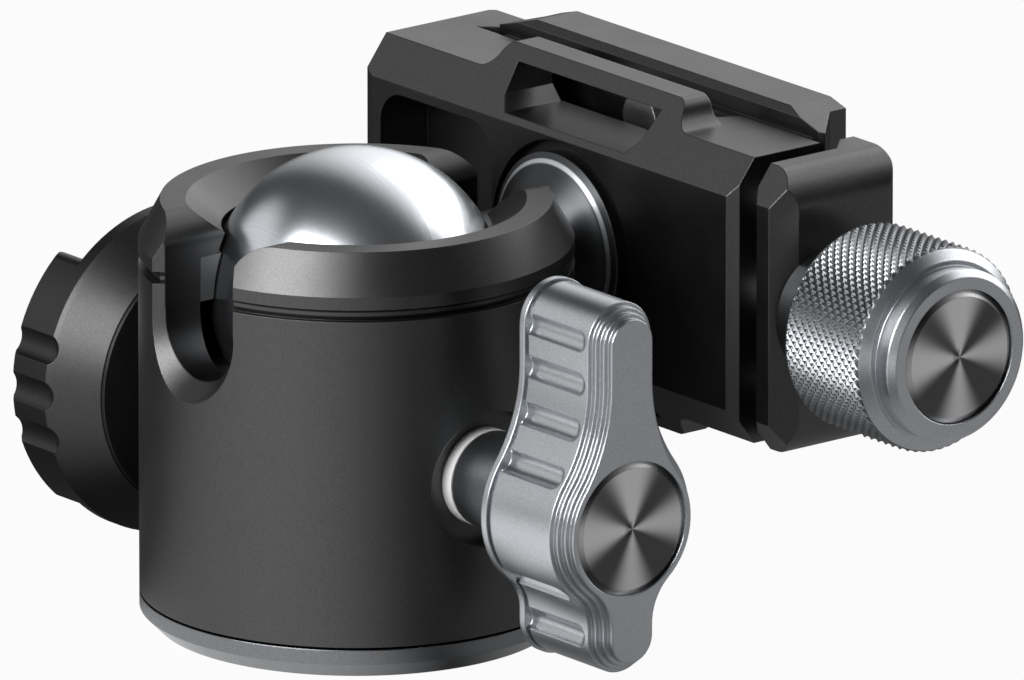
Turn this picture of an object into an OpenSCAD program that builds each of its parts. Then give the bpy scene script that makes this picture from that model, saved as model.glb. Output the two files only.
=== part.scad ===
// Tripod ball head: a two-notch housing on a panning base, a winged main lock knob,
// a round friction knob opposite it, and a screw-knob dovetail clamp with its camera plate.
// Millimetres. Origin at the centre of the base's underside, +Z up.
// The stem lies in the +Y notch, the main lock knob is on +X and the friction knob on -X.

/* [Base] */
// Height of the grey base disc
base_h = 2.3; // [1.8:0.1:4]
// Width of the chamfer under the base disc
base_chamfer = 1.2; // [0.4:0.1:1.5]
// Major diameter of the tripod screw thread
tripod_thread_d = 9.525; // [6.35:0.005:9.6]
// Depth of the tripod screw hole
tripod_thread_depth = 8; // [6:0.5:9]
// Wall of the pan spindle around the tripod screw hole
spindle_wall = 2.6; // [2:0.1:3.4]

/* [Housing] */
// Outer diameter of the housing and the base
housing_d = 32; // [31:0.5:40]
// Height of the housing from its foot to the rim
housing_h = 29.6; // [28.6:0.1:31]
// Running gap between the base disc and the housing
pan_gap = 0.2; // [0.1:0.05:0.4]
// Height of the outer bevel under the rim
rim_bevel_h = 3; // [2:0.1:4]
// Width of the outer bevel, seen from above
rim_bevel_w = 1.6; // [1:0.1:2]
// Width of the flat rim between the outer bevel and the inner dish
rim_flat_w = 1.9; // [0.3:0.1:2.4]
// Depth of the inner dish around the ball
dish_depth = 2.2; // [1.5:0.1:2.6]
// Drop from the bevel to the thin turned groove
groove_drop = 1.4; // [1:0.1:3]
// Width of the thin turned groove
groove_w = 0.9; // [0.3:0.1:1.4]
// Depth of the thin turned groove
groove_depth = 0.5; // [0.1:0.05:0.8]

/* [Ball and stem] */
// Diameter of the ball
ball_d = 21.6; // [19:0.1:21.8]
// Depth of the ball's centre below the rim
ball_drop = 7.2; // [6.5:0.1:7.5]
// Diameter of the stem's neck
neck_d = 7.6; // [6.4:0.1:8.4]
// Distance from the ball's centre to the clamp's underside
stem_len = 19.2; // [18.8:0.1:22]
// Diameter of the stem's flange
flange_d = 14.3; // [13:0.1:16]
// Thickness of the flange's rim
flange_t = 0.9; // [0.6:0.1:1.4]
// Clearance between the neck and the side of a notch
notch_gap = 0.25; // [0.2:0.05:0.8]
// Width of the bevel along a notch's outer edge
notch_bevel = 0.7; // [0.4:0.1:1.2]
// Radius of the rounded corners where a notch meets the rim
notch_lip_r = 2.4; // [1:0.1:3]

/* [Ball seats] */
// Wall of the ball seats at the ball's middle
seat_t = 1.1; // [0.9:0.1:1.3]
// Clearance between the ball and its seats
ball_fit = 0.1; // [0.05:0.01:0.15]
// Clearance of the lower seat in the housing
seat_fit = 0.08; // [0.04:0.01:0.1]

/* [Lock and friction knobs] */
// Height of both knobs' axis above the base's underside
knob_z = 14.3; // [14:0.1:15]
// Diameter of both knobs' studs
stud_d = 5; // [4:0.1:5.4]
// Running clearance around the studs
stud_fit = 0.08; // [0.03:0.01:0.1]
// Distance from the housing's axis to the front of the winged knob
wing_front = 32.1; // [30:0.1:34]
// Depth of the winged part of the lock knob
wing_depth = 9.2; // [7:0.1:10]
// Radius of the winged knob's round middle
wing_hub_r = 6.5; // [5.6:0.1:6.8]
// Half width of the winged knob's arms
wing_arm_r = 2.9; // [2.4:0.05:3.2]
// Length of the long arm, from the axis to its tip
wing_long = 16.8; // [16:0.1:17.4]
// Length of the short arm, from the axis to its tip
wing_short = 11.2; // [10.4:0.1:11.8]
// Diameter of both knobs' hubs at the housing
hub_d = 7.2; // [7:0.1:9]
// Diameter of the round friction knob
friction_d = 25; // [23:0.1:27]
// Distance from the housing's axis to the friction knob's outer face
friction_face = 25.3; // [24:0.1:27]
// Length of the straight part of the friction knob's grip grooves
friction_groove_len = 4; // [3:0.1:4.6]
// Depth of the two wide valleys at the top and bottom of the friction knob
friction_valley_len = 3; // [1.6:0.1:3.4]

/* [Clamp] */
// Length of the clamp along the dovetail
clamp_len = 21.8; // [20:0.1:26]
// Thickness of the fixed jaw beside the dovetail
fixed_jaw_t = 2.8; // [2.4:0.1:4]
// Depth of the clamp from its underside to the top of its moving jaw
clamp_h = 11.3; // [11:0.1:13]
// Opening of the moving jaw, measured from where it grips the plate
jaw_open = 1.5; // [0:0.1:1.8]
// Length of the moving jaw across the dovetail
jaw_w = 3.5; // [3.3:0.1:6]
// Depth of the dovetail, from the jaws' tops to its floor
dovetail_depth = 3; // [2.6:0.1:3.4]
// Height of the strap bumps beside the clamp
bump_h = 2; // [1.4:0.1:2.6]
// Diameter of the knurled clamp knob
clamp_knob_d = 15.6; // [14:0.1:17]
// Length of the knurled part of the clamp knob
clamp_knob_len = 9.4; // [7:0.1:10]
// Diameter of the clamp's screw
clamp_screw_d = 4; // [3:0.1:4.4]

/* [Camera plate] */
// Width of the plate's dovetail
plate_w = 38; // [36:0.1:38.4]
// Length of the plate along the dovetail
plate_len = 24.7; // [22:0.1:34]
// Thickness of the plate without its pad
plate_t = 5.2; // [4.8:0.1:6]
// Width of the plate's top face
plate_top_w = 33.2; // [31:0.1:34.4]
// Thickness of the plate's rubber pad
pad_t = 0.8; // [0.5:0.1:1.2]
// Major diameter of the camera screw
camera_thread_d = 6.35; // [5:0.05:6.5]
// Length of the camera screw above the pad
camera_thread_len = 5; // [4:0.1:6]

/* [Hidden] */
$fn = 96;
eps = 0.01;
slip = 0.1;       // gap between pieces that slide or turn on each other
seat_gap = 0.05;  // gap between flat faces of different bodies

// Base and pan bearing
body_r = housing_d / 2;
foot_z = base_h + pan_gap;
rim_z = foot_z + housing_h;
spindle_r = tripod_thread_d / 2 + spindle_wall;
spindle_flange_r = spindle_r + 2.4;
retainer_z = foot_z + 0.8;
retainer_t = 2;
washer_t = 0.5;
screw_head_t = 0.8;
retainer_screw_len = 3.6;
screw_hole_depth = 3;
retainer_top = retainer_z + retainer_t;
spindle_flange_z = retainer_top + washer_t + 2 * seat_gap;
spindle_top = max(spindle_flange_z + 1.8, tripod_thread_depth + 1);

// Ball and its seats
ball_r = ball_d / 2;
ball_z = rim_z - ball_drop;
socket_r = ball_r + ball_fit;
seat_r = socket_r + seat_t;
bore_r = seat_r + seat_fit;
mouth_r = ball_r + 0.4;
dish_z = rim_z - dish_depth;
lip_z = dish_z - 1.2;
retainer_r = body_r - 1.3;
retainer_screw_place = (bore_r + retainer_r) / 2;
screw_head_r = (retainer_r - bore_r) / 2 - 0.15;
retainer_screw_r = 0.6 * screw_head_r;
notch_r = neck_d / 2 + notch_gap;
upper_seat_z = ball_z + 0.4;
seat_skirt_z = knob_z + 2.6;
seat_foot_z = max(knob_z - 1.1, spindle_top + 0.6);
seat_foot_r = bore_r - 3.3;

// Lock and friction knobs
stud_r = stud_d / 2;
hub_r = hub_d / 2;
spot_x = body_r - 1.4;
spot_r = hub_r + 1.5;
knob_washer_t = 1;
hub_x = spot_x + knob_washer_t + seat_gap;
skirt_slope = (seat_r - seat_foot_r) / (seat_skirt_z - seat_foot_z);
cone_len = 1.7;
stud_tip_x = seat_foot_r + skirt_slope * (knob_z + stud_r - cone_len - seat_foot_z) + 0.25;
wing_back = wing_front - wing_depth;
wing_lip_t = 0.6;
wing_seam_t = 0.2;
wing_cap_r = wing_hub_r - 1.45;
wing_hub_flare = 1.1;
cap_t = 0.7;
wing_step = 0.34;
wing_step_t = 0.5;
wing_fillet_long = 12;
wing_fillet_short = 3.2;
wing_groove_r = 0.95;
wing_groove_pitch = 3.26;
wing_groove_high = wing_long - 2.65;
wing_groove_low = wing_short - 3;
friction_r = friction_d / 2;
friction_inner = body_r + 0.5;
friction_boss_r = friction_r - 2.7;
friction_boss_x = friction_inner + 1.1;
friction_grip_x = friction_face - 4.1;
friction_edge = 0.25;
friction_groove_r = 1.4;
friction_groove_out = 0.85;
friction_groove_pitch = 16;
friction_valley_r = friction_r - 4.35;
friction_valley_y = friction_r - 5.6;
friction_lobe_r = 1;
friction_cap_r = friction_r - 5;

// Clamp, in the dropped position: its underside faces the ball
clamp_y = stem_len;
jaw_top_y = clamp_y + clamp_h;
fixed_top_y = jaw_top_y + 1;
floor_y = jaw_top_y - dovetail_depth;
channel_y = clamp_y + 5.7;
channel_w = 19;
bevel_y = 2.1;
bevel_z = 2.75;
tip_x = plate_w / 2;
undercut = 1.7;
lip_y = floor_y + undercut;
plate_tip_y = lip_y - 0.4;
jaw_lip_x = tip_x - (lip_y - plate_tip_y) + slip;
groove_x = jaw_lip_x + undercut;
fixed_x = -groove_x - fixed_jaw_t;
body_end_x = groove_x - 0.4;
jaw_x = groove_x + jaw_open;
jaw_end_x = jaw_x + jaw_w;
clamp_span = body_end_x - fixed_x;
jaw_corner_r = 2.8;
jaw_edge_r = 1;
bump_top_w = 19;
bump_run = 2.75;
bump_foot_r = 1.75;
bump_top_r = (pow(bump_run, 2) + pow(bump_h, 2)) / (2 * bump_h) - bump_foot_r;
slot_w = 16;
slot_low = clamp_len / 2 - bevel_z + 0.45;
slot_high = clamp_len / 2 + bump_h - 1.1;
pocket_x0 = fixed_x + 1.9;
pocket_x1 = -channel_w / 2 + 1.4;
pocket_h = clamp_len - 2 * bevel_z - 1.6;
pocket_depth = 4.5;
recess_r = flange_d / 2 + 0.8;
recess_depth = 0.8;
stem_screw_r = 2;
stem_head_r = 3.6;
stem_head_t = 2.2;
stem_screw_len = 8;
spigot_r = neck_d / 2 - 1.4;
spigot_len = 4;
flange_edge = 0.9;
flange_cone_len = 2;
clamp_screw_r = clamp_screw_d / 2;
clamp_axis_y = clamp_y + 4.45;
clamp_screw_x = channel_w / 2 + 1;
pin_r = 1.2;
pin_z = 7;
washer_len = 4;
clamp_knob_x = jaw_end_x + washer_len + 2 * seat_gap;
clamp_knob_r = clamp_knob_d / 2;
knob_collar_len = 1.8;
knob_collar_r = clamp_knob_r - 1.35;
clamp_knob_end = clamp_knob_x + clamp_knob_len + knob_collar_len;
clamp_cap_r = clamp_knob_r - 2.8;

// Camera plate
plate_y = floor_y + seat_gap;
plate_step_y = plate_tip_y - 0.35;
plate_top_y = plate_y + plate_t;
plate_top_x = plate_top_w / 2;
plate_slope_y = plate_tip_y + tip_x - plate_top_x;
plate_edge = 0.5;
plate_foot_x = tip_x - 1.1;
plate_foot_l = clamp_len - 0.6;
plate_corner_x = 4.2;
plate_corner_z = 1.2;
pad_margin = 1.2;
camera_screw_r = camera_thread_d / 2;
camera_neck_r = camera_screw_r - 0.6;
camera_thread_y = plate_top_y + pad_t + seat_gap;
camera_head_r = camera_screw_r + 2.4;
camera_head_t = 2;
stop_screw_z = plate_foot_l / 2 - 2.2;

// Extrudes a shape drawn in (Y, Z) along +X from x
module face_x(x, len) {
    translate([x, 0, 0]) rotate([90, 0, 90]) linear_extrude(len) children();
}

// Extrudes a shape drawn in (X, Z) along +Y from y
module face_y(y, len) {
    translate([0, y + len, 0]) rotate([90, 0, 0]) linear_extrude(len) children();
}

// Cylinder along +X from x, on the axis through (y, z)
module rod_x(x, len, r, y = 0, z = 0, r2 = 0) {
    translate([x, y, z]) rotate([0, 90, 0]) cylinder(r1 = r, r2 = r2 > 0 ? r2 : r, h = len);
}

// Cylinder along +Y from y, on the axis through (x, z)
module rod_y(y, len, r, x = 0, z = 0, r2 = 0) {
    translate([x, y, z]) rotate([-90, 0, 0]) cylinder(r1 = r, r2 = r2 > 0 ? r2 : r, h = len);
}

module disc_z(z, len, r) {
    translate([0, 0, z]) cylinder(r = r, h = len);
}

module ball_sphere(r) {
    translate([0, 0, ball_z]) sphere(r = r);
}

// Base and pan bearing

module base_plate() color("#8f9499") difference() {
    rotate_extrude() polygon([[0, 0], [body_r - base_chamfer, 0], [body_r, base_chamfer],
        [body_r, base_h], [0, base_h]]);
    disc_z(-eps, base_h + 2 * eps, spindle_r - 0.8);
}

module pan_spindle() color("#b9bcc0") difference() {
    union() {
        disc_z(0, base_h + eps, spindle_r - 0.8);
        disc_z(base_h, spindle_top - base_h, spindle_r);
        disc_z(spindle_flange_z, spindle_top - spindle_flange_z, spindle_flange_r);
    }
    disc_z(-1, tripod_thread_depth + 1, tripod_thread_d / 2);
}

module pan_retainer() color("#4c4f53") difference() {
    disc_z(retainer_z, retainer_t, retainer_r);
    disc_z(retainer_z - 1, retainer_t + 2, spindle_r + slip);
    retainer_screw_places() {
        disc_z(retainer_z - 1, retainer_t + 2, retainer_screw_r + seat_gap);
        disc_z(retainer_z - 1, screw_head_t + 1.1, screw_head_r + seat_gap);
    }
}

module pan_washer() color("#e8e6df") difference() {
    disc_z(retainer_top, washer_t, spindle_flange_r - 0.2);
    disc_z(retainer_top - 1, washer_t + 2, spindle_r + slip);
}

module retainer_screw_places() {
    for (turn = [45 : 90 : 315])
        rotate([0, 0, turn]) translate([retainer_screw_place, 0, 0]) children();
}

module retainer_screws() color("#9a9da1") retainer_screw_places() {
    difference() {
        disc_z(retainer_z + 0.1, screw_head_t, screw_head_r);
        translate([0, 0, retainer_z]) cylinder(r = screw_head_r / 2, h = 0.5, $fn = 6);
    }
    disc_z(retainer_z + 0.1 + screw_head_t, retainer_screw_len, retainer_screw_r);
}

// Housing

// A drop notch that opens along +Y, with its outer bevel and rounded rim corners
module notch_cut() {
    height = rim_z - ball_z + 1;
    bevel_y0 = sqrt(pow(body_r, 2) - pow(notch_r + notch_bevel, 2)) - notch_bevel;
    bevel_len = body_r + 0.5 - bevel_y0;
    outer_r = notch_r + bevel_len;
    rod_y(0, body_r + 1, notch_r, 0, ball_z);
    rod_y(bevel_y0 - seat_gap, bevel_len + seat_gap, notch_r, 0, ball_z, outer_r);
    translate([-notch_r, 0, ball_z]) cube([2 * notch_r, body_r + 1, height]);
    translate([0, 0, ball_z]) linear_extrude(height) polygon([[-notch_r, bevel_y0],
        [notch_r, bevel_y0], [outer_r, body_r + 0.5], [-outer_r, body_r + 0.5]]);
    face_y(0, body_r + 1) difference() {
        translate([-notch_r - notch_lip_r, rim_z - notch_lip_r])
            square([2 * (notch_r + notch_lip_r), notch_lip_r + 1]);
        for (side = [-1, 1])
            translate([side * (notch_r + notch_lip_r), rim_z - notch_lip_r]) circle(r = notch_lip_r);
    }
}

module knob_port() {
    rod_x(bore_r - 1, body_r, stud_r + 0.9, 0, knob_z);
    rod_x(spot_x, body_r, spot_r, 0, knob_z);
}

module housing() color("#26272a") difference() {
    rotate_extrude() polygon([[retainer_r + slip, foot_z], [body_r, foot_z],
        [body_r, rim_z - rim_bevel_h], [body_r - rim_bevel_w, rim_z],
        [body_r - rim_bevel_w - rim_flat_w, rim_z], [mouth_r - 1.6, dish_z], [mouth_r - 1.6, lip_z],
        [bore_r, lip_z], [bore_r, retainer_top], [retainer_r + slip, retainer_top]]);
    ball_sphere(mouth_r);
    translate([0, 0, rim_z - rim_bevel_h - groove_drop]) rotate_extrude()
        translate([body_r - groove_depth, -groove_w / 2]) square([1, groove_w]);
    notch_cut();
    mirror([0, 1, 0]) notch_cut();
    knob_port();
    mirror([1, 0, 0]) knob_port();
    retainer_screw_places() disc_z(retainer_top - 1, screw_hole_depth + 1, retainer_screw_r);
}

// Two fixed bearing pads above the ball's middle, parted by the notches
module upper_seat() color("#3a3a3c") difference() {
    disc_z(upper_seat_z, lip_z - upper_seat_z, bore_r);
    ball_sphere(socket_r);
    notch_cut();
    mirror([0, 1, 0]) notch_cut();
}

// Sliding cup under the ball; the studs' cones lift it by its sloping skirt
module lower_seat() color("#d9d4c4") difference() {
    rotate_extrude() polygon([[3.2, seat_foot_z], [seat_foot_r, seat_foot_z],
        [seat_r, seat_skirt_z], [seat_r, ball_z - notch_r - 0.6], [3.2, ball_z - notch_r - 0.6]]);
    ball_sphere(socket_r);
}

module port_bush() difference() {
    rod_x(bore_r + 0.3, spot_x - bore_r - 0.3, stud_r + 0.9, 0, knob_z);
    rod_x(bore_r - 1, body_r, stud_r + stud_fit, 0, knob_z);
}

module port_washer() difference() {
    rod_x(spot_x, knob_washer_t, hub_r + 0.05, 0, knob_z);
    rod_x(spot_x - 1, knob_washer_t + 2, stud_r + stud_fit, 0, knob_z);
}

module lock_bush() color("#c7a55a") port_bush();

module friction_bush() color("#c7a55a") mirror([1, 0, 0]) port_bush();

module lock_washer() color("#f0f0ee") port_washer();

module friction_washer() color("#f0f0ee") mirror([1, 0, 0]) port_washer();

// Lock and friction knobs

// Stud with a cone tip that reaches from the seat's skirt into its knob
module cone_stud(end_x) {
    rod_x(stud_tip_x, cone_len, stud_r - cone_len, 0, knob_z, stud_r);
    rod_x(stud_tip_x + cone_len, end_x - stud_tip_x - cone_len, stud_r, 0, knob_z);
}

module lock_stud() color("#a9acb0") cone_stud(wing_front - 3.2);

module friction_stud() color("#a9acb0") mirror([1, 0, 0]) cone_stud(friction_face - 3.2);

// One arm of the winged outline: a round-ended bar blended into the hub by arcs
module wing_arm(length, fillet, inset) {
    arm = wing_arm_r - inset;
    hub = wing_hub_r - inset;
    blend = fillet + inset;
    blend_y = sqrt(pow(hub + blend, 2) - pow(arm + blend, 2));
    translate([-arm, 0]) square([2 * arm, length - inset - arm]);
    translate([0, length - inset - arm]) circle(r = arm);
    difference() {
        polygon([[0, 0], [arm + blend, blend_y], [-arm - blend, blend_y]]);
        for (side = [-1, 1]) translate([side * (arm + blend), blend_y]) circle(r = blend);
    }
}

module wing_outline(inset) {
    circle(r = wing_hub_r - inset);
    wing_arm(wing_long, wing_fillet_long, inset);
    mirror([0, 1]) wing_arm(wing_short, wing_fillet_short, inset);
}

// Half width of the winged outline at a distance from the axis
function wing_side(height, fillet) =
    let (blend_y = sqrt(pow(wing_hub_r + fillet, 2) - pow(wing_arm_r + fillet, 2)))
    height >= blend_y ? wing_arm_r
        : height >= blend_y * wing_hub_r / (wing_hub_r + fillet)
            ? wing_arm_r + fillet - sqrt(pow(fillet, 2) - pow(blend_y - height, 2))
            : sqrt(pow(wing_hub_r, 2) - pow(height, 2));

// Pair of finger grooves on both sides of an arm, open at the back and round at the front
module wing_grooves(height, half_width) {
    groove_x0 = wing_back + wing_lip_t;
    groove_x1 = wing_front - 3 * wing_step_t - wing_groove_r - 0.3;
    for (groove_y = [-half_width - 0.4, half_width + 0.4]) {
        rod_x(groove_x0, groove_x1 - groove_x0, wing_groove_r, groove_y, height);
        translate([groove_x1, groove_y, height]) sphere(r = wing_groove_r);
    }
}

module wing_knob() color("#8b9097") translate([0, 0, knob_z]) difference() {
    union() {
        rod_x(hub_x, wing_back - hub_x + eps, hub_r, 0, 0, hub_r + wing_hub_flare);
        face_x(wing_back, wing_lip_t) wing_outline(-0.2);
        face_x(wing_back + wing_lip_t, wing_seam_t) wing_outline(0.3);
        face_x(wing_back + wing_lip_t + wing_seam_t, wing_depth - wing_lip_t - wing_seam_t
            - 3 * wing_step_t) wing_outline(0);
        for (step = [1 : 3])
            face_x(wing_front - (4 - step) * wing_step_t, wing_step_t) wing_outline(step * wing_step);
    }
    rod_x(hub_x - 1, wing_front - 3 - hub_x + 1, stud_r + stud_fit);
    rod_x(wing_front - cap_t, cap_t + 1, wing_cap_r);
    for (height = [wing_groove_high : -wing_groove_pitch : wing_groove_high - 3 * wing_groove_pitch])
        wing_grooves(height, wing_side(height, wing_fillet_long));
    for (height = [wing_groove_low, wing_groove_low - wing_groove_pitch])
        wing_grooves(-height, wing_side(height, wing_fillet_short));
}

module wing_cap() color("#55585c") translate([0, 0, knob_z]) rotate([0, 90, 0])
    translate([0, 0, wing_front - cap_t]) rotate_extrude()
        polygon([[0, 0], [wing_cap_r, 0], [wing_cap_r, cap_t - 0.3], [wing_cap_r - 0.5, cap_t],
            [0, cap_t + 0.05]]);

// Scalloped finger groove of the friction knob, open at its outer face
module friction_groove(turn) {
    rotate([turn, 0, 0]) translate([0, friction_r + friction_groove_out, 0]) {
        rod_x(friction_face - friction_groove_len, friction_groove_len + 1, friction_groove_r);
        translate([friction_face - friction_groove_len, 0, 0]) sphere(r = friction_groove_r);
    }
}

// Wide valley between the two grooved lobes, with the lobes' ends rounded
module friction_valley() {
    corner_y = friction_valley_y + friction_lobe_r;
    corner_z = sqrt(pow(friction_r - friction_lobe_r, 2) - pow(corner_y, 2));
    beyond = 1.1 * friction_r / (friction_r - friction_lobe_r);
    face_x(friction_face - friction_valley_len, friction_valley_len + 1) difference() {
        union() {
            translate([-friction_valley_y, 0]) square([2 * friction_valley_y, friction_r + 1]);
            for (side = [-1, 1]) polygon([[side * friction_valley_y, corner_z],
                [side * friction_valley_y, friction_r + 1],
                [side * beyond * corner_y, beyond * corner_z], [side * corner_y, corner_z]]);
        }
        circle(r = friction_valley_r);
        for (side = [-1, 1]) translate([side * corner_y, corner_z]) circle(r = friction_lobe_r);
    }
}

// The friction knob is drawn on +X and mirrored to -X
module friction_knob() color("#1d1e20") mirror([1, 0, 0]) translate([0, 0, knob_z]) difference() {
    rotate([0, 90, 0]) rotate_extrude() polygon([[0, hub_x], [hub_r, hub_x], [hub_r, friction_inner],
        [spot_r, friction_inner], [friction_boss_r, friction_boss_x],
        [friction_boss_r, friction_boss_x + 0.2], [friction_boss_r + 0.15, friction_boss_x + 0.2],
        [friction_r - 0.2, friction_grip_x - 0.3], [friction_r, friction_grip_x],
        [friction_r, friction_face - friction_edge], [friction_r - friction_edge, friction_face],
        [0, friction_face]]);
    rod_x(hub_x - 1, friction_face - 3 - hub_x + 1, stud_r + stud_fit);
    rod_x(friction_face - cap_t, cap_t + 1, friction_cap_r);
    friction_valley();
    mirror([0, 0, 1]) friction_valley();
    for (lobe = [0, 180])
        for (place = [-1 : 1]) friction_groove(lobe + friction_groove_pitch * place);
}

module friction_cap() color("#55585c") mirror([1, 0, 0]) translate([0, 0, knob_z]) rotate([0, 90, 0])
    translate([0, 0, friction_face - cap_t]) rotate_extrude()
        polygon([[0, 0], [friction_cap_r, 0], [friction_cap_r, cap_t - 0.3],
            [friction_cap_r - 0.5, cap_t], [0, cap_t + 0.05]]);

// Ball and stem

module ball() color("#c9ccd0") difference() {
    ball_sphere(ball_r);
    rod_y(ball_r - spigot_len, 2 * spigot_len, spigot_r, 0, ball_z);
}

module stem() color("#4a4c50") translate([0, 0, ball_z]) rotate([-90, 0, 0]) difference() {
    neck_r = neck_d / 2;
    flange_r = flange_d / 2;
    rim_y = stem_len - flange_t;
    union() {
        translate([0, 0, ball_r - spigot_len + slip]) cylinder(r = spigot_r - seat_gap, h = spigot_len);
        rotate_extrude() difference() {
            polygon([[0, ball_r - 1], [neck_r, ball_r - 1], [neck_r, rim_y - flange_cone_len],
                [flange_r - flange_edge, rim_y], [flange_r, rim_y + 0.5],
                [flange_r, stem_len + recess_depth], [0, stem_len + recess_depth]]);
            circle(r = ball_r + seat_gap);
        }
    }
    translate([0, 0, stem_len - stem_screw_len]) cylinder(r = stem_screw_r, h = stem_screw_len + 2);
}

// Dovetail clamp

// Bevelled outline of a clamp piece seen from its side, drawn in (Y, Z)
module clamp_profile(height) {
    z0 = clamp_len / 2 - bevel_z;
    bevel_end = clamp_y + bevel_y / bevel_z * (height - z0);
    polygon([[clamp_y, -z0], [bevel_end, -height], [fixed_top_y, -height],
        [fixed_top_y, height], [bevel_end, height], [clamp_y, z0]]);
}

module clamp_section() {
    polygon([[fixed_x + 0.9, clamp_y - 1], [fixed_x + 0.9, clamp_y], [fixed_x, clamp_y + 0.3],
        [fixed_x, fixed_top_y - 0.4], [fixed_x + 0.4, fixed_top_y], [-jaw_lip_x, fixed_top_y],
        [-jaw_lip_x, lip_y], [-groove_x, floor_y], [-channel_w / 2 - 1.2, floor_y],
        [-channel_w / 2, channel_y], [channel_w / 2, channel_y], [channel_w / 2 + 1.2, floor_y],
        [body_end_x, floor_y], [body_end_x, clamp_y + 0.7], [body_end_x - 0.7, clamp_y],
        [body_end_x - 0.7, clamp_y - 1]]);
}

// Outline of the clamp's middle with a bump at both ends, drawn in (X, Z)
module strap_bumps() {
    top = bump_top_w / 2;
    foot = top + bump_run;
    high = clamp_len / 2 + bump_h;
    foot_arc_z = clamp_len / 2 + bump_foot_r;
    top_arc_z = high - bump_top_r;
    translate([-top, -high]) square([2 * top, 2 * high]);
    for (turn = [0, 180], side = [-1, 1]) rotate(turn) {
        translate([side * top, top_arc_z]) circle(r = bump_top_r);
        difference() {
            polygon([[side * top, 0], [side * foot, 0], [side * foot, foot_arc_z],
                [side * top, top_arc_z]]);
            translate([side * foot, foot_arc_z]) circle(r = bump_foot_r);
        }
    }
}

module strap_slot() {
    face_y(clamp_y - 1, clamp_h + 2)
        polygon([[-slot_w / 2 + 1, slot_low], [slot_w / 2 - 1, slot_low],
            [slot_w / 2, slot_low + 1.1], [slot_w / 2 + 0.4, slot_high],
            [-slot_w / 2 - 0.4, slot_high], [-slot_w / 2, slot_low + 1.1]]);
}

module underside_pocket() {
    corner = 2.6;
    for (x = [pocket_x0 + corner, pocket_x1 - corner])
        for (z = [-pocket_h / 2 + corner, pocket_h / 2 - corner])
            rod_y(clamp_y - 1, pocket_depth + 1, corner, x, z);
    translate([pocket_x0 + corner, clamp_y - 1, -pocket_h / 2])
        cube([pocket_x1 - pocket_x0 - 2 * corner, pocket_depth + 1, pocket_h]);
    translate([pocket_x0, clamp_y - 1, -pocket_h / 2 + corner])
        cube([pocket_x1 - pocket_x0, pocket_depth + 1, pocket_h - 2 * corner]);
}

module clamp_body() color("#202124") translate([0, 0, ball_z]) difference() {
    union() {
        intersection() {
            translate([0, 0, -clamp_len / 2]) linear_extrude(clamp_len) clamp_section();
            face_x(fixed_x - 1, clamp_span + 2) clamp_profile(clamp_len / 2);
        }
        intersection() {
            face_y(clamp_y - 1, channel_y - clamp_y + 1) strap_bumps();
            face_x(-bump_top_w, 2 * bump_top_w) clamp_profile(clamp_len / 2 + bump_h);
        }
    }
    strap_slot();
    mirror([0, 0, 1]) strap_slot();
    underside_pocket();
    rod_y(clamp_y - 1, 1 + recess_depth, recess_r);
    rod_y(clamp_y, clamp_h, stem_screw_r + 0.2);
    rod_y(channel_y - stem_head_t, stem_head_t + 1, stem_head_r + 0.1);
    rod_x(clamp_screw_x - 1 - jaw_open, clamp_span, clamp_screw_r + slip / 2, clamp_axis_y);
    for (side = [-1, 1])
        rod_x(body_end_x - 5, 6, pin_r, clamp_axis_y, side * pin_z);
}

module stem_screw() color("#9a9da1") translate([0, 0, ball_z]) difference() {
    union() {
        rod_y(channel_y - stem_head_t, stem_head_t - 0.1, stem_head_r);
        rod_y(stem_len - stem_screw_len + 0.2,
            channel_y - stem_head_t - stem_len + stem_screw_len - 0.2 + eps, stem_screw_r);
    }
    translate([0, channel_y - 1.4, 0]) rotate([-90, 0, 0]) cylinder(r = 1.7, h = 2, $fn = 6);
}

module guide_pins() color("#b4b7bb") translate([0, 0, ball_z])
    for (side = [-1, 1])
        rod_x(body_end_x - 5, jaw_end_x - 0.7 - jaw_open - body_end_x + 5, pin_r, clamp_axis_y,
            side * pin_z);

// Outline of the moving jaw's outer end with its rounded corners, drawn in (X, Z)
module jaw_outline() {
    corner_z = clamp_len / 2 - jaw_corner_r;
    translate([0, -clamp_len / 2]) square([jaw_end_x - jaw_corner_r, clamp_len]);
    translate([0, -corner_z]) square([jaw_end_x, 2 * corner_z]);
    for (side = [-1, 1])
        translate([jaw_end_x - jaw_corner_r, side * corner_z]) circle(r = jaw_corner_r);
}

// Outline of the moving jaw seen from above, drawn in (X, Y)
module jaw_section() {
    polygon([[jaw_x, clamp_y + 0.9], [jaw_x + 0.8, clamp_y + 0.1],
        [jaw_end_x - 1.3, clamp_y + 0.1], [jaw_end_x, clamp_y + 1.9],
        [jaw_end_x, jaw_top_y - jaw_edge_r], [jaw_end_x - jaw_edge_r, jaw_top_y],
        [jaw_lip_x + jaw_open, jaw_top_y], [jaw_lip_x + jaw_open, lip_y], [jaw_x, floor_y]]);
    translate([jaw_end_x - jaw_edge_r, jaw_top_y - jaw_edge_r]) circle(r = jaw_edge_r);
}

module moving_jaw() color("#202124") translate([0, 0, ball_z]) difference() {
    intersection() {
        translate([0, 0, -clamp_len / 2]) linear_extrude(clamp_len) jaw_section();
        face_x(0, jaw_end_x + 1) clamp_profile(clamp_len / 2);
        face_y(clamp_y - 1, clamp_h + 2) jaw_outline();
    }
    rod_x(jaw_x - 1, jaw_w + 2, clamp_screw_r + slip, clamp_axis_y);
    for (side = [-1, 1])
        rod_x(jaw_x - 1, jaw_w + 0.4, pin_r + slip, clamp_axis_y, side * pin_z);
}

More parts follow.
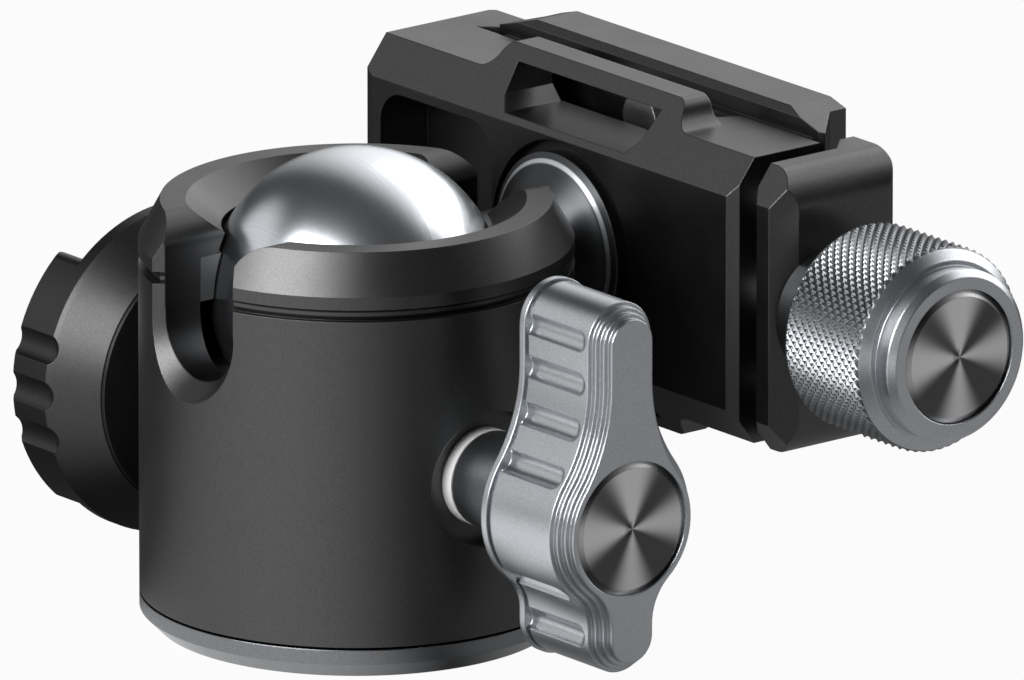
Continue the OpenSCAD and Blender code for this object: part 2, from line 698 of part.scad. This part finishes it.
module clamp_washer() color("#3a3c40") translate([0, 0, ball_z]) difference() {
    rod_x(jaw_end_x, washer_len, clamp_knob_r - 3.1, clamp_axis_y);
    rod_x(jaw_end_x - 1, washer_len + 2, clamp_screw_r + slip, clamp_axis_y);
}

module clamp_knob() color("#8b9097")
        translate([0, clamp_axis_y, ball_z]) rotate([0, 90, 0]) difference() {
    knurl_end = clamp_knob_x + clamp_knob_len;
    rotate_extrude() polygon([[0, clamp_knob_x], [clamp_knob_r - 0.6, clamp_knob_x],
        [clamp_knob_r, clamp_knob_x + 0.6], [clamp_knob_r, knurl_end - 0.9],
        [clamp_knob_r - 0.9, knurl_end - 0.1], [clamp_knob_r - 1, knurl_end],
        [knob_collar_r, knurl_end], [knob_collar_r, clamp_knob_end - 0.5],
        [knob_collar_r - 0.5, clamp_knob_end], [0, clamp_knob_end]]);
    translate([0, 0, clamp_knob_x - 1]) cylinder(r = clamp_screw_r + 0.02, h = clamp_knob_len - 1);
    translate([0, 0, clamp_knob_end - cap_t]) cylinder(r = clamp_cap_r, h = cap_t + 1);
}

module clamp_knob_cap() color("#55585c") translate([0, clamp_axis_y, ball_z]) rotate([0, 90, 0])
    translate([0, 0, clamp_knob_end - cap_t]) rotate_extrude()
        polygon([[0, 0], [clamp_cap_r, 0], [clamp_cap_r, cap_t - 0.3], [clamp_cap_r - 0.5, cap_t],
            [0, cap_t + 0.05]]);

module clamp_screw() color("#a9acb0") translate([0, 0, ball_z])
    rod_x(clamp_screw_x, clamp_knob_x + clamp_knob_len - 2.2 - clamp_screw_x, clamp_screw_r,
        clamp_axis_y);

// Camera plate

// Outline with cut corners, drawn in (X, Z)
module plate_outline(half_w, half_l) {
    polygon([for (side = [-1, 1]) each [[side * half_w, -side * (half_l - plate_corner_z)],
        [side * (half_w - plate_corner_x), -side * half_l],
        [-side * (half_w - plate_corner_x), -side * half_l],
        [-side * half_w, -side * (half_l - plate_corner_z)]]]);
}

// The plate: a foot inside the clamp and a dovetailed top that hangs over both of its ends
module plate() color("#1d1e20") translate([0, 0, ball_z]) difference() {
    union() {
        translate([-plate_foot_x, plate_y, -plate_foot_l / 2])
            cube([2 * plate_foot_x, plate_step_y - plate_y + eps, plate_foot_l]);
        intersection() {
            translate([0, 0, -plate_len / 2]) linear_extrude(plate_len)
                polygon([[-tip_x + 0.35, plate_step_y], [-tip_x, plate_tip_y],
                    [-plate_top_x, plate_slope_y], [-plate_top_x, plate_top_y],
                    [plate_top_x, plate_top_y], [plate_top_x, plate_slope_y],
                    [tip_x, plate_tip_y], [tip_x - 0.35, plate_step_y]]);
            face_x(-tip_x, plate_w) polygon([[plate_step_y, -plate_len / 2 + plate_edge],
                [plate_step_y + plate_edge, -plate_len / 2], [plate_top_y, -plate_len / 2],
                [plate_top_y, plate_len / 2], [plate_step_y + plate_edge, plate_len / 2],
                [plate_step_y, plate_len / 2 - plate_edge]]);
            face_y(plate_y, plate_t + 1) plate_outline(tip_x, plate_len / 2);
        }
    }
    rod_y(plate_y - 1, plate_t + 2, camera_neck_r + slip);
    rod_y(plate_y - 1, camera_head_t + 1.2, camera_head_r + slip);
    for (side = [-1, 1])
        rod_y(plate_y - 1, 4, 0.9, 0, side * stop_screw_z);
}

module plate_pad() color("#151516") translate([0, 0, ball_z]) difference() {
    face_y(plate_top_y, pad_t) plate_outline(plate_top_x - pad_margin, plate_len / 2 - pad_margin);
    rod_y(plate_top_y - 1, pad_t + 2, camera_screw_r + 0.6);
}

module stop_screws() color("#9a9da1") translate([0, 0, ball_z])
    for (side = [-1, 1]) {
        rod_y(plate_y - 0.9, 0.9, 1.9, 0, side * stop_screw_z);
        rod_y(plate_y, 2.8, 0.9, 0, side * stop_screw_z);
    }

module camera_screw() color("#b4b7bb") translate([0, 0, ball_z]) difference() {
    union() {
        rod_y(plate_y, camera_head_t, camera_head_r);
        rod_y(plate_y + camera_head_t, camera_thread_y - plate_y - camera_head_t, camera_neck_r);
        rod_y(camera_thread_y, camera_thread_len - 0.6, camera_screw_r);
        rod_y(camera_thread_y + camera_thread_len - 0.6, 0.6, camera_screw_r, 0, 0,
            camera_screw_r - 0.6);
    }
    translate([-camera_head_r - 1, plate_y - 1, -0.6]) cube([2 * camera_head_r + 2, 2, 1.2]);
}

base_plate();
pan_spindle();
housing();
pan_retainer();
pan_washer();
retainer_screws();
upper_seat();
lock_bush();
friction_bush();
lock_washer();
friction_washer();
lower_seat();
lock_stud();
wing_knob();
wing_cap();
friction_stud();
friction_knob();
friction_cap();
ball();
stem();
clamp_body();
stem_screw();
guide_pins();
moving_jaw();
clamp_washer();
clamp_knob();
clamp_knob_cap();
clamp_screw();
plate();
plate_pad();
stop_screws();
camera_screw();
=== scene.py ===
import math

import bpy
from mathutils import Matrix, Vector


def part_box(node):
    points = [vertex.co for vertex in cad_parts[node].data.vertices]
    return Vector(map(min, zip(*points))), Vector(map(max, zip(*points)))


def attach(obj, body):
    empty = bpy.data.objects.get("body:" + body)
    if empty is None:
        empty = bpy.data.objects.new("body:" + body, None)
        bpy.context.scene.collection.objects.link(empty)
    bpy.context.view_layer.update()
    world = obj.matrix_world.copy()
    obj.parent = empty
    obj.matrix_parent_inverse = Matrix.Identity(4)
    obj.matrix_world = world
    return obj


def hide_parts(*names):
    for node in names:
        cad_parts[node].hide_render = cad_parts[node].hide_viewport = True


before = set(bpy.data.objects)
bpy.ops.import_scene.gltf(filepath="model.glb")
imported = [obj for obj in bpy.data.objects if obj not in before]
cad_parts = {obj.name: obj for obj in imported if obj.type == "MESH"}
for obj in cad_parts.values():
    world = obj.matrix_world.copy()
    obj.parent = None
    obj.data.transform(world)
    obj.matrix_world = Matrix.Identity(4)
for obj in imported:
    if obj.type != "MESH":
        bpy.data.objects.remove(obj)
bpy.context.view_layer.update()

MM = 0.001
WHITE = (1.0, 1.0, 1.0)
COOL = (0.95, 0.985, 1.03)  # the faint blue of grey anodised and polished aluminium
GOLDEN = (1.1, 0.85, 0.45)

# The photograph's view: angles in degrees, and the picture's middle measured from the origin
CAMERA_AZIMUTH = 51.2
CAMERA_ELEVATION = 16.4
CAMERA_RIGHT = 11.40 * MM
CAMERA_UP = 20.36 * MM
PICTURE_WIDTH = 75.3 * MM
LENS = 1000.0  # long, because the photograph has almost no perspective
SENSOR_WIDTH = 36.0

# Places on the solids that a material follows
BALL_Z = 24.9 * MM
HOUSING_R = 16.0 * MM
NOTCH_R = 4.05 * MM
GROOVE_Z = 27.7 * MM
GROOVE_HALF = 0.42 * MM
FLANGE_R = (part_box("stem")[1][2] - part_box("stem")[0][2]) / 2

# Details of the materials
CUT_PAINTED_SHADE = 2.2  # how far painted shade on a cut's wall falls below the grain's darker colour
GROOVE_GLEAM = 1.4  # over 1, so that the bright line between the two painted shade bands in the housing's groove has a flat top
LIP_INSET = 0.62 * MM  # a painted highlight ring near the stem flange's rim
LIP_WIDTH = 0.2 * MM
LIP_HIGHLIGHT_VALUE = 0.62
RING_PITCH = 0.12 * MM
RING_STRETCH = 0.02  # squeezes a noise across its axis, which draws it out into rings
SPUN_PITCH = 0.09 * MM
# the caps' star of light and dark sectors, painted highlight and painted shade in their colour
PAINTED_SECTORS = 4.0
PAINTED_LEAN_ANGLE = 2.1  # radians: the side of a cap on which its painted highlight sectors are brighter
PAINTED_LEAN = 0.35
PEBBLE = 0.25 * MM
BEVEL_SAMPLES = 6


def rgb(value, tint=WHITE):
    return (value * tint[0], value * tint[1], value * tint[2], 1.0)


def middle(node):
    low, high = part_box(node)
    return [(a + b) / 2 for a, b in zip(low, high)]


def direction(azimuth, elevation):
    a, e = math.radians(azimuth), math.radians(elevation)
    return Vector((math.sin(a) * math.cos(e), -math.cos(a) * math.cos(e), math.sin(e)))


def from_camera(turn, elevation):
    """The direction at a turn to the camera's right and an elevation, in degrees."""
    return direction(CAMERA_AZIMUTH + turn, elevation)


def make_camera():
    back = direction(CAMERA_AZIMUTH, CAMERA_ELEVATION)
    a = math.radians(CAMERA_AZIMUTH)
    side = Vector((math.cos(a), math.sin(a), 0.0))
    top = side.cross(-back)
    camera = bpy.data.objects.new("camera", bpy.data.cameras.new("camera"))
    bpy.context.scene.collection.objects.link(camera)
    camera.data.lens = LENS
    camera.data.sensor_width = SENSOR_WIDTH
    camera.data.clip_start = 0.05
    camera.data.clip_end = 20.0
    distance = PICTURE_WIDTH / SENSOR_WIDTH * LENS
    camera.location = side * CAMERA_RIGHT + top * CAMERA_UP + back * distance
    camera.rotation_euler = (-back).to_track_quat("-Z", "Y").to_euler()
    bpy.context.scene.camera = camera


make_camera()


# Node graphs


class Graph:
    """A node tree, with a short call for each kind of node that is used more than once."""

    def __init__(self, tree):
        self.tree = tree

    def node(self, kind):
        return self.tree.nodes.new("ShaderNode" + kind)

    def link(self, source, target):
        self.tree.links.new(source, target)

    def feed(self, value, target):
        """Fills an input from another node's output, or with a plain value."""
        if isinstance(value, bpy.types.NodeSocket):
            self.link(value, target)
        else:
            target.default_value = value

    def place(self, squeeze=(1.0, 1.0, 1.0), centre=(0.0, 0.0, 0.0)):
        """Object coordinates in metres, measured from a centre and squeezed along the axes."""
        mapping = self.node("Mapping")
        mapping.inputs["Scale"].default_value = squeeze
        mapping.inputs["Location"].default_value = [-c * q for c, q in zip(centre, squeeze)]
        self.link(self.node("TexCoord").outputs["Object"], mapping.inputs["Vector"])
        return mapping.outputs["Vector"]

    def parts(self, centre):
        """The X, Y and Z of a place, measured from a centre."""
        node = self.node("SeparateXYZ")
        self.link(self.place(centre=centre), node.inputs["Vector"])
        return node.outputs["X"], node.outputs["Y"], node.outputs["Z"]

    def noise(self, vector, scale, detail=2.0, roughness=0.5):
        node = self.node("TexNoise")
        node.inputs["Scale"].default_value = scale
        node.inputs["Detail"].default_value = detail
        node.inputs["Roughness"].default_value = roughness
        self.link(vector, node.inputs["Vector"])
        return node.outputs["Fac"]

    def maths(self, operation, first, second=0.0):
        node = self.node("Math")
        node.operation = operation
        self.feed(first, node.inputs[0])
        self.feed(second, node.inputs[1])
        return node.outputs["Value"]

    def length(self, first, second):
        squares = [self.maths("MULTIPLY", part, part) for part in (first, second)]
        return self.maths("SQRT", self.maths("ADD", *squares))

    def apart(self, first, second):
        return self.maths("ABSOLUTE", self.maths("SUBTRACT", first, second))

    def spread(self, source, low, high, start=0.3, end=0.7, smooth=False):
        """Low up to the start, high from the end on, and a straight or smooth step between."""
        node = self.node("MapRange")
        node.interpolation_type = "SMOOTHSTEP" if smooth else "LINEAR"
        node.inputs["From Min"].default_value = start
        node.inputs["From Max"].default_value = end
        node.inputs["To Min"].default_value = low
        node.inputs["To Max"].default_value = high
        self.link(source, node.inputs["Value"])
        return node.outputs["Result"]

    def blend(self, factor, first, second, clamp=True):
        """A colour between two colours."""
        node = self.node("Mix")
        node.data_type = "RGBA"
        node.clamp_factor = clamp
        self.feed(first, node.inputs["A"])
        self.feed(second, node.inputs["B"])
        self.link(factor, node.inputs["Factor"])
        return node.outputs["Result"]

    def cloud(self, scale):
        """A slow variation over the whole piece."""
        return self.noise(self.place(), scale, 3.0)

    def bump(self, shader, height, depth, edge):
        """Fine relief, on normals that round each edge off by a small radius."""
        bevel = self.node("Bevel")
        bevel.samples = BEVEL_SAMPLES
        bevel.inputs["Radius"].default_value = edge
        node = self.node("Bump")
        node.inputs["Strength"].default_value = 1.0
        node.inputs["Distance"].default_value = depth
        self.link(height, node.inputs["Height"])
        self.link(bevel.outputs["Normal"], node.inputs["Normal"])
        self.link(node.outputs["Normal"], shader.inputs["Normal"])

    def glow(self, vector, towards, level, start, end):
        """Rises smoothly to a level as a unit vector turns towards a direction.

        Start and end are cosines of the angle between them.
        """
        node = self.node("VectorMath")
        node.operation = "DOT_PRODUCT"
        node.inputs[1].default_value = towards
        self.link(vector, node.inputs[0])
        return self.spread(node.outputs["Value"], 0.0, level, start, end, smooth=True)

    def camera_ray(self):
        return self.node("LightPath").outputs["Is Camera Ray"]

    def reflected_ray(self):
        rays = self.node("LightPath").outputs
        return self.maths("MAXIMUM", rays["Is Glossy Ray"], rays["Is Transmission Ray"])

    def light(self, kind, strength, colour=WHITE):
        """An Emission or a Background."""
        node = self.node(kind)
        node.inputs["Color"].default_value = rgb(1.0, colour)
        self.feed(strength, node.inputs["Strength"])
        return node.outputs[kind]

    def mix(self, factor, first, second):
        """A shader between two shaders."""
        node = self.node("MixShader")
        self.link(factor, node.inputs["Fac"])
        self.link(first, node.inputs[1])
        self.link(second, node.inputs[2])
        return node.outputs["Shader"]


# Materials


def new_material(name):
    mat = bpy.data.materials.new(name)
    mat.use_nodes = True
    return mat, Graph(mat.node_tree), mat.node_tree.nodes["Principled BSDF"]


def colour_and_gloss(graph, shader, colour, cloud, rough, uneven, metallic=1.0):
    """Sets a colour, and a gloss that wanders a little with a cloud."""
    graph.link(colour, shader.inputs["Base Color"])
    graph.link(graph.spread(cloud, rough - uneven, rough + uneven), shader.inputs["Roughness"])
    shader.inputs["Metallic"].default_value = metallic


def housing_painted_shade(graph):
    """A painted shade mask: 0 where shade is painted on the housing's notch walls and in its turned
    groove, and 1 elsewhere.
    """
    x, y, z = graph.parts((0.0, 0.0, BALL_Z))
    reach = graph.length(x, graph.maths("MINIMUM", z, 0.0))
    outside_notch = graph.spread(reach, 0.0, 1.0, NOTCH_R + 0.02 * MM, NOTCH_R + 0.08 * MM)
    off = graph.apart(z, GROOVE_Z - BALL_Z)
    outer = graph.spread(graph.length(x, y), 0.0, 1.0, HOUSING_R - 0.2 * MM, HOUSING_R - 0.05 * MM)
    beside = graph.spread(off, 0.0, 1.0, GROOVE_HALF, GROOVE_HALF + 0.03 * MM)
    gleam = graph.spread(off, GROOVE_GLEAM, 0.0, 0.06 * MM, 0.18 * MM)
    outside_groove = graph.maths("MAXIMUM", outer, graph.maths("MAXIMUM", beside, gleam))
    return graph.maths("MINIMUM", outside_notch, outside_groove)


def blasted(name, value, tint=WHITE, rough=0.4, grain=0.11 * MM, depth=2.0e-6, edge=0.12 * MM,
            shade_mask=None):
    """Bead-blasted, anodised aluminium: fine even grain, with a faint cloud in its gloss.

    The last argument, where given, is a function of the graph that is 0 where shade is painted into
    hollows and 1 elsewhere.
    """
    mat, graph, shader = new_material(name)
    fine = graph.noise(graph.place(), 1.0 / grain, 2.0, 0.6)
    shade = graph.spread(fine, 0.0, 1.0)
    # where a mask is given, shade is painted into the hollows it marks, down past the grain's
    # darker colour
    if shade_mask:
        outside = shade_mask(graph)
        cut = graph.maths("MULTIPLY", graph.maths("SUBTRACT", 1.0, outside), CUT_PAINTED_SHADE)
        shade = graph.maths("SUBTRACT", graph.maths("MULTIPLY", shade, outside), cut)
    colour = graph.blend(shade, rgb(value * 0.85, tint), rgb(value * 1.15, tint), clamp=not shade_mask)
    colour_and_gloss(graph, shader, colour, graph.cloud(260.0), rough, 0.02)
    graph.bump(shader, fine, depth, edge)
    return mat


def turned(name, value, tint=WHITE, rough=0.28, axis="X", depth=1.2e-6, edge=0.1 * MM,
           uneven=0.03, highlight_r=None):
    """Turned metal: fine rings about an axis, from a squeezed noise.

    The lip radius, where given, is that of a painted highlight ring about the stem's axis.
    """
    mat, graph, shader = new_material(name)
    squeeze = [1.0 if axis == letter else RING_STRETCH for letter in "XYZ"]
    rings = graph.noise(graph.place(squeeze), 1.0 / RING_PITCH, 3.0, 0.6)
    shade = graph.spread(rings, 0.0, 1.0)
    colour = graph.blend(shade, rgb(value * 0.95, tint), rgb(value * 1.04, tint))
    # a painted highlight: a bright ring of colour about the stem's axis
    if highlight_r:
        x, _, z = graph.parts((0.0, 0.0, BALL_Z))
        off = graph.apart(graph.length(x, z), highlight_r)
        on_highlight = graph.spread(off, 1.0, 0.0, LIP_WIDTH / 2, LIP_WIDTH)
        colour = graph.blend(on_highlight, colour, rgb(LIP_HIGHLIGHT_VALUE, tint))
    colour_and_gloss(graph, shader, colour, graph.cloud(400.0), rough, uneven)
    graph.bump(shader, rings, depth, edge)
    return mat


def spun_painted_star(name, node, value, contrast):
    """A lathe-faced disc across X: fine rings in its relief, and a star of light and dark sectors
    painted into its colour as painted highlight and painted shade.
    """
    mat, graph, shader = new_material(name)
    _, along, across = graph.parts(middle(node))
    # painted highlight and painted shade: a star of light and dark sectors in the base colour,
    # brighter on one side
    angle = graph.maths("ARCTAN2", across, along)
    star = graph.maths("COSINE", graph.maths("MULTIPLY", angle, PAINTED_SECTORS))
    lean = graph.maths("COSINE", graph.maths("SUBTRACT", angle, PAINTED_LEAN_ANGLE))
    uneven_star = graph.maths("ADD", star, graph.maths("MULTIPLY", lean, PAINTED_LEAN))
    sector = graph.spread(uneven_star, 0.0, 1.0, -0.9, 1.2, smooth=True)
    colour = graph.blend(sector, rgb(value * (1.0 - contrast)), rgb(value * (1.0 + contrast)))
    graph.link(colour, shader.inputs["Base Color"])
    shader.inputs["Metallic"].default_value = 1.0
    shader.inputs["Roughness"].default_value = 0.34
    outwards = graph.node("CombineXYZ")
    radius = graph.length(along, across)
    graph.link(graph.maths("DIVIDE", radius, SPUN_PITCH), outwards.inputs["X"])
    rings = graph.noise(outwards.outputs["Vector"], 1.0, 2.0, 0.6)
    graph.bump(shader, rings, 1.0e-6, 0.08 * MM)
    return mat


def moulded(name, value, rough=0.5, depth=4e-6):
    """Moulded plastic or rubber: soft uneven gloss and a faint pebble."""
    mat, graph, shader = new_material(name)
    pebble = graph.noise(graph.place(), 1.0 / PEBBLE)
    cloud = graph.cloud(150.0)
    colour = graph.blend(graph.spread(cloud, 0.0, 1.0), rgb(value * 0.9), rgb(value * 1.1))
    colour_and_gloss(graph, shader, colour, cloud, rough, 0.04, metallic=0.0)
    graph.bump(shader, pebble, depth, 0.1 * MM)
    return mat


black = blasted("black_anodised", 0.085)
# the housing: painted shade on its notches' walls and in its groove
black_housing = blasted("black_housing_painted_shade", 0.085, depth=3.4e-6, edge=0.06 * MM, shade_mask=housing_painted_shade)
black_clamp = blasted("black_clamp", 0.1, rough=0.34, grain=0.13 * MM, depth=4.0e-6)
black_knob = blasted("black_knob", 0.06)
base_grey = blasted("base_grey", 0.22, COOL, rough=0.28, depth=0.6e-6)
silver = blasted("grey_anodised", 0.6, COOL, rough=0.3, depth=0.6e-6, edge=0.18 * MM)
# the knob's grey anodising again, at a third of its value: painted shade on the knurl
knurl_painted_shade = blasted("knurled_grey_painted_shade", 0.2, COOL, rough=0.36, depth=0.3e-6, edge=0.04 * MM)
# the stem flange, with a painted highlight ring near its rim
flange_grey = turned("flange_grey", 0.075, COOL, rough=0.4, axis="Y", edge=0.15 * MM,
                     highlight_r=FLANGE_R - LIP_INSET)
gunmetal = turned("gunmetal", 0.14, COOL, rough=0.36, axis="Y", edge=0.15 * MM)
ball_metal = turned("ball_metal", 0.88, COOL, rough=0.25, axis="Y", depth=0.02e-6, uneven=0.006)
steel = turned("steel", 0.6, rough=0.3)
brass = turned("brass", 0.62, GOLDEN, rough=0.3)
nylon = moulded("nylon", 0.82, rough=0.4)
black_plastic = moulded("black_plastic", 0.008)
rubber = moulded("rubber", 0.022, rough=0.75, depth=1e-5)

FINISH = {
    "base_plate": base_grey, "pan_spindle": steel, "housing": black_housing, "pan_retainer": black,
    "pan_washer": nylon, "retainer_screws": steel, "upper_seat": black_plastic, "lock_bush": brass,
    "friction_bush": brass, "lock_washer": nylon, "friction_washer": nylon,
    "lower_seat": black_plastic, "lock_stud": steel, "wing_knob": silver, "friction_stud": steel,
    "wing_cap": spun_painted_star("spun_wing_cap_painted_star", "wing_cap", 0.52, 0.8), "friction_knob": black_knob,
    "friction_cap": spun_painted_star("spun_friction_cap_painted_star", "friction_cap", 0.12, 0.62), "ball": ball_metal,
    "stem": flange_grey, "clamp_body": black_clamp, "stem_screw": steel, "guide_pins": steel,
    "moving_jaw": black_clamp, "clamp_washer": gunmetal, "clamp_knob": silver,
    "clamp_knob_cap": spun_painted_star("spun_clamp_cap_painted_star", "clamp_knob_cap", 0.52, 0.8), "clamp_screw": steel,
    "plate": black_clamp, "plate_pad": rubber, "stop_screws": steel, "camera_screw": steel,
}
for name, mat in FINISH.items():
    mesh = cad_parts[name].data
    mesh.materials.clear()
    mesh.materials.append(mat)


# Knurled clamp knob

# Lengths run along X from the foot, the shoulder or the end, and insets inwards from the radius
KNURL_STEPS = 6  # facets along and around for each diamond
KNURL_DIAMONDS = 60
KNURL_PITCH = 0.8 * MM
KNURL_DEPTH = 0.23 * MM
TIP_GAP = 0.01 * MM  # keeps the tips inside the solid's cylinder
AXIS_R = 0.01 * MM  # a disc's middle, nearly closed
FOOT_LEN = 0.62 * MM  # a rounded foot, up to the knurl
FOOT_INSET = 0.6 * MM
KNEE_LEN, KNEE_INSET = 0.35 * MM, 0.3 * MM
LEAD_LEN = 0.75 * MM  # the diamonds rise to their full height up to here
KNURL_END = 0.56 * MM  # the knurl stops before the shoulder
CONE_LEN = 0.9 * MM
CONE_END = 0.1 * MM
SHOULDER_INSET = 1.0 * MM
COLLAR_LEN = 1.8 * MM
COLLAR_INSET = 1.35 * MM
COLLAR_EASE = 0.5 * MM
BORE_R = 2.02 * MM
BORE_DEPTH = 7.4 * MM
CAP_SEAT = 0.7 * MM
CAP_GAP = 0.05 * MM


def curve(*corners):
    """A smooth segment of a surface of revolution, through (x, radius) corners."""
    return [(x, [radius]) for x, radius in corners], False


def chain(*corners):
    """A segment for each side between (x, radius) corners, so that the corners stay sharp."""
    return [curve(*side) for side in zip(corners, corners[1:])]


def revolve(segments, turns):
    """Points and faces of a surface of revolution about X.

    A segment is its (x, radii) rows, and whether its faces are flat.
    """
    points, faces, smooth = [], [], []
    for rows, flat in segments:
        first = len(points)
        for x, radii in rows:
            for step in range(turns):
                r = radii[step % len(radii)]
                angle = 2.0 * math.pi * step / turns
                points.append((x, r * math.cos(angle), r * math.sin(angle)))
        for row in range(len(rows) - 1):
            for step in range(turns):
                a = first + row * turns + step
                b = first + row * turns + (step + 1) % turns
                faces.append((a, b, b + turns, a + turns))
                smooth.append(not flat)
    return points, faces, smooth


def ridge(value):
    """Triangle wave between 0 and 1 with period 1."""
    part = value % 1.0
    return 1.0 - abs(2.0 * part - 1.0)


def knurl_rows(x, end, tip, lead, cone):
    """Rows of diamonds from x up to an end, cut off by a lead-in and a cone over x."""
    rows = []
    index = 0
    while x < end:
        ring = []
        for step in range(KNURL_STEPS * KNURL_DIAMONDS):
            u, w = step / KNURL_STEPS, index / KNURL_STEPS
            height = min(ridge(u + w), ridge(u - w))
            ring.append(min(tip - KNURL_DEPTH * (1.0 - height), cone(x), lead(x)))
        rows.append((x, ring))
        x += KNURL_PITCH / KNURL_STEPS
        index += 1
    return rows


def knurled_knob():
    (x0, y0, z0), (x1, y1, z1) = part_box("clamp_knob")
    cap_low, cap_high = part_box("clamp_knob_cap")
    r = (y1 - y0) / 2
    tip = r - TIP_GAP
    low = tip - KNURL_DEPTH
    shoulder = x1 - COLLAR_LEN
    collar = r - COLLAR_INSET
    cap_r = (cap_high[1] - cap_low[1]) / 2 + CAP_GAP
    seat = x1 - CAP_SEAT

    def lead(x):
        return tip - max(0.0, x0 + LEAD_LEN - x)

    def cone(x):
        return tip - max(0.0, x - (shoulder - CONE_LEN))

    rows = knurl_rows(x0 + FOOT_LEN, shoulder - KNURL_END, tip, lead, cone)
    last_x = rows[-1][0]
    foot = (x0, r - FOOT_INSET)
    bore = chain((x0 + BORE_DEPTH, AXIS_R), (x0 + BORE_DEPTH, BORE_R), (x0, BORE_R), foot)
    rounding = curve(foot, (x0 + KNEE_LEN, r - KNEE_INSET), (x0 + FOOT_LEN, low))
    head = chain((last_x, min(low, cone(last_x))), (shoulder - CONE_END, r - CONE_LEN),
                 (shoulder, r - SHOULDER_INSET), (shoulder, collar), (x1 - COLLAR_EASE, collar),
                 (x1, collar - COLLAR_EASE), (x1, cap_r), (seat, cap_r), (seat, AXIS_R))
    segments = [*bore, rounding, (rows, True), *head]
    points, faces, smooth = revolve(segments, KNURL_STEPS * KNURL_DIAMONDS)
    mesh = bpy.data.meshes.new("knurled_knob")
    mesh.from_pydata(points, [], faces)
    mesh.polygons.foreach_set("use_smooth", smooth)
    mesh.materials.append(silver)
    # the knurl's flat faces take the darker copy, painted shade
    mesh.materials.append(knurl_painted_shade)
    mesh.polygons.foreach_set("material_index", [0 if even else 1 for even in smooth])
    mesh.update()
    knob = bpy.data.objects.new("knurled_knob", mesh)
    knob.location = (0.0, (y0 + y1) / 2, (z0 + z1) / 2)
    bpy.context.scene.collection.objects.link(knob)
    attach(knob, "clamp_knob")
    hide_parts("clamp_knob")


knurled_knob()


# Studio: places are turns to the camera's right and elevations, in degrees

OBJECT_CENTRE = Vector((0.008, 0.01, 0.02))
BACKDROP_STRENGTH = 1.1
ROOM_STRENGTH = 0.045
ROOM_TINT = (0.95, 0.97, 1.0)
FLOOR_SIZE = 6.0
FLOOR_GREY = 0.3
FLOOR_SEEN = 0.96  # share of white that the camera sees in the floor; the rest keeps the shadow
FLOOR_REFLECTED = 0.85  # share of the lit patches that metal sees in it
FLOOR_DIM = 0.06  # the floor between those patches


def area(name, turn, elevation, distance, width, height, power):
    lamp = bpy.data.lights.new(name, "AREA")
    lamp.shape = "RECTANGLE"
    lamp.size, lamp.size_y = width, height
    lamp.energy = power
    obj = bpy.data.objects.new(name, lamp)
    bpy.context.scene.collection.objects.link(obj)
    obj.location = from_camera(turn, elevation) * distance
    obj.rotation_mode = "QUATERNION"
    obj.rotation_quaternion = (OBJECT_CENTRE - obj.location).to_track_quat("-Z", "Y")


def make_world():
    """White for the camera. Metal sees white behind the object, a softer card, and a dim room."""
    world = bpy.data.worlds.new("world")
    bpy.context.scene.world = world
    world.use_nodes = True
    world.node_tree.nodes.clear()
    graph = Graph(world.node_tree)
    sky = graph.node("TexCoord").outputs["Generated"]

    behind = graph.glow(sky, from_camera(142, 22), 0.98, 0.52, 0.9)
    left = graph.glow(sky, from_camera(-110, 17), 0.58, 0.86, 0.97)
    cards = graph.maths("MAXIMUM", behind, left)
    in_metal = graph.maths("MULTIPLY", graph.reflected_ray(), cards)
    surface = graph.mix(graph.maths("MAXIMUM", graph.camera_ray(), in_metal),
                        graph.light("Background", ROOM_STRENGTH, ROOM_TINT),
                        graph.light("Background", BACKDROP_STRENGTH))
    graph.link(surface, graph.node("OutputWorld").inputs["Surface"])


def make_floor():
    """Nearly white for the camera. Metal sees it dim, with two lit patches."""
    bpy.ops.mesh.primitive_plane_add(size=FLOOR_SIZE, location=(0.0, 0.0, 0.0))
    floor = bpy.context.object
    floor.name = "floor"
    mat = bpy.data.materials.new("floor")
    mat.use_nodes = True
    mat.node_tree.nodes.clear()
    graph = Graph(mat.node_tree)
    outwards = graph.node("VectorMath")
    outwards.operation = "NORMALIZE"
    graph.link(graph.node("TexCoord").outputs["Object"], outwards.inputs[0])

    left = graph.glow(outwards.outputs["Vector"], from_camera(-42, 0), 1.06, 0.3, 0.95)
    right = graph.glow(outwards.outputs["Vector"], from_camera(78, 0), 0.3, 0.6, 0.95)
    patches = graph.maths("ADD", graph.maths("ADD", left, right), FLOOR_DIM)
    diffuse = graph.node("BsdfDiffuse")
    diffuse.inputs["Color"].default_value = rgb(FLOOR_GREY)
    seen = graph.mix(graph.maths("MULTIPLY", graph.camera_ray(), FLOOR_SEEN),
                     diffuse.outputs["BSDF"], graph.light("Emission", 1.0))
    surface = graph.mix(graph.maths("MULTIPLY", graph.reflected_ray(), FLOOR_REFLECTED),
                        seen, graph.light("Emission", patches))
    graph.link(surface, graph.node("OutputMaterial").inputs["Surface"])
    floor.data.materials.append(mat)


area("key", -42, 32, 0.55, 0.42, 0.36, 4.4)
area("rim", 132, 32, 0.6, 0.6, 0.5, 1.05)
make_world()
make_floor()

bpy.context.scene.view_settings.view_transform = "Standard"
